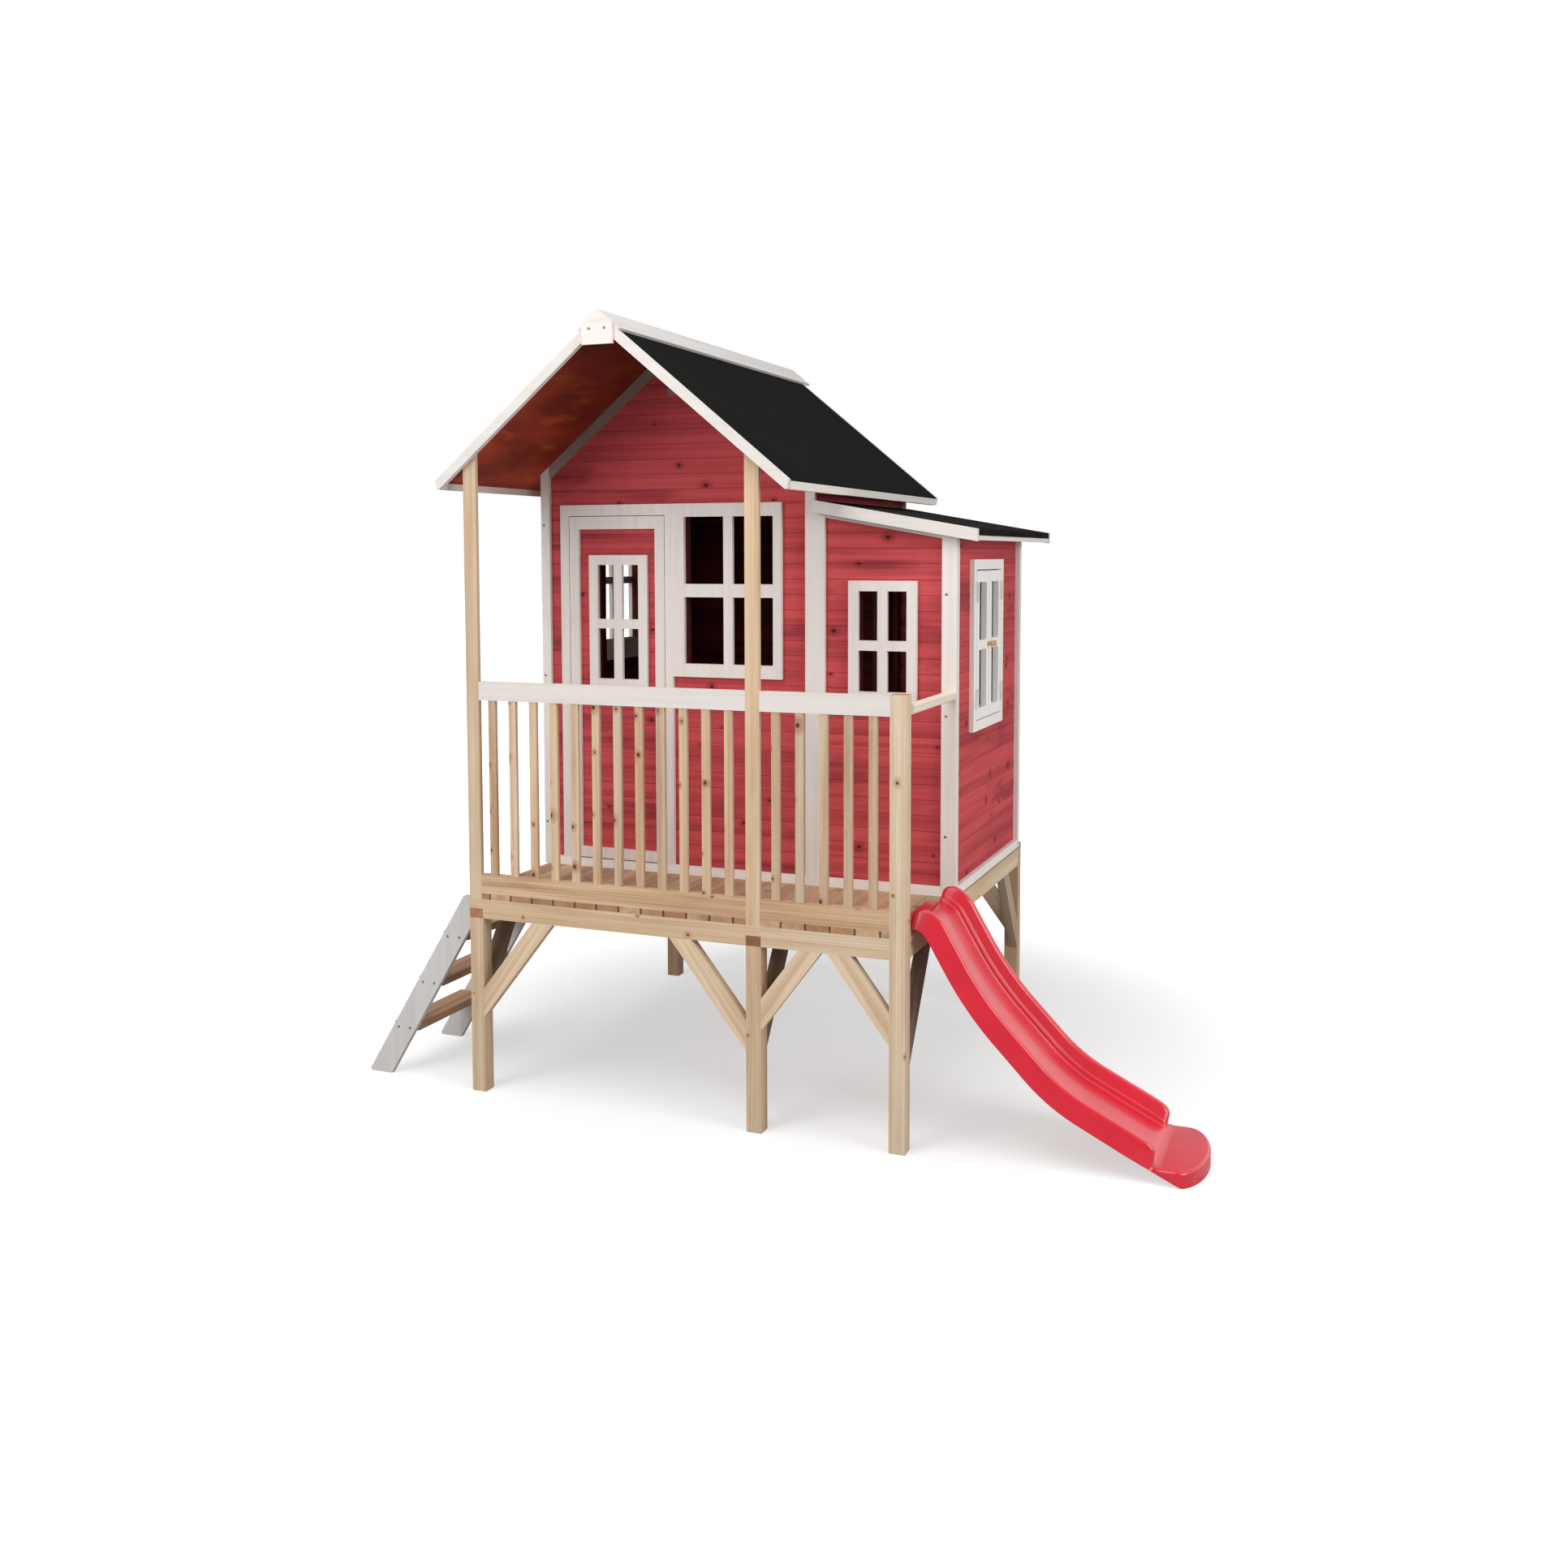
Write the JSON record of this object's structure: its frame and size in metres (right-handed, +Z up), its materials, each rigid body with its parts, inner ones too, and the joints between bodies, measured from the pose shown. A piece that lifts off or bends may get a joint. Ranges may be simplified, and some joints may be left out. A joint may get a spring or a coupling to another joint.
{
  "type": "stilt playhouse",
  "caption": "Wooden playhouse on a raised stage with a railed porch, gabled cabin, lean-to side room, leaning ladder and a moulded slide; door and side window leaves swing.",
  "frame": {"origin": "on the ground under the middle of the whole playhouse's bounding box, slide and ladder included", "axes": "+X along the front from the ladder to the slide, +Y from the porch to the back, +Z up"},
  "size_m": [2.524, 1.4992, 2.2926],
  "materials": {
    "natural_timber": "planed spruce with knots",
    "white_timber": "white paint on sawn wood",
    "red_timber": "red stain, grain and knots showing through",
    "brown_timber": "dark red-brown stain",
    "grey_timber": "pale grey paint",
    "roof_felt": "black mineral felt",
    "slide_plastic": "glossy moulded plastic",
    "fixing_steel": "zinc plated"
  },
  "bodies": {
    "house": {"front_left_leg": "natural_timber", "front_middle_leg": "natural_timber", "front_right_post": "natural_timber", "back_left_leg": "natural_timber", "back_middle_leg": "natural_timber", "back_right_leg": "natural_timber", "front_beam_long": "natural_timber", "front_beam_short": "natural_timber", "back_beam": "natural_timber", "left_side_beam": "natural_timber", "middle_beam": "natural_timber", "right_side_beam": "natural_timber", "leg_braces": "natural_timber", "deck_boards": "natural_timber", "porch_posts": "natural_timber", "bottom_rails": "natural_timber", "balusters": "natural_timber", "ladder_steps": "natural_timber", "wall_studs": "natural_timber", "top_rails": "white_timber", "slide_entry_bar": "white_timber", "corner_trims": "white_timber", "base_trims": "white_timber", "gable_trims": "white_timber", "door_frame": "white_timber", "front_window_frame": "white_timber", "lean_to_window_frame": "white_timber", "left_window_frame": "white_timber", "side_window_frame": "white_timber", "barge_boards": "white_timber", "eave_fascias": "white_timber", "lean_to_roof_trims": "white_timber", "ridge_gussets": "white_timber", "front_wall_boards": "red_timber", "back_wall_boards": "red_timber", "left_wall_boards": "red_timber", "cabin_side_boards": "red_timber", "lean_to_front_boards": "red_timber", "lean_to_back_boards": "red_timber", "lean_to_side_boards": "red_timber", "roof_boards": "brown_timber", "lean_to_roof_boards": "brown_timber", "ridge_cap": "grey_timber", "ladder_stringers": "grey_timber", "roof_felt": "roof_felt", "lean_to_roof_felt": "roof_felt", "slide": "slide_plastic", "screws": "fixing_steel", "door_hinge_plates": "fixing_steel", "side_window_hinge_plates": "fixing_steel"},
    "door": {"door_boards": "red_timber", "door_battens": "white_timber", "door_window_frame": "white_timber", "door_hinge_leaves": "fixing_steel"},
    "front_window_leaf": {"side_window_front_leaf": "white_timber", "side_window_front_knob": "white_timber", "side_window_front_hinge_leaves": "fixing_steel"},
    "back_window_leaf": {"side_window_back_leaf": "white_timber", "side_window_back_knob": "white_timber", "side_window_back_hinge_leaves": "fixing_steel"}
  },
  "joints": [
    {"name": "door_swing", "type": "hinge", "parent": "house", "child": "door", "pos_m": [-0.7775, -0.2334, 0.636], "axis": [0, 0, 1], "range_deg": [0, 95]},
    {"name": "front_window_leaf_swing", "type": "hinge", "parent": "house", "child": "front_window_leaf", "pos_m": [0.508, -0.03265, 1.1], "axis": [0, 0, -1], "range_deg": [0, 110]},
    {"name": "back_window_leaf_swing", "type": "hinge", "parent": "house", "child": "back_window_leaf", "pos_m": [0.508, 0.27685, 1.1], "axis": [0, 0, 1], "range_deg": [0, 110]}
  ]
}
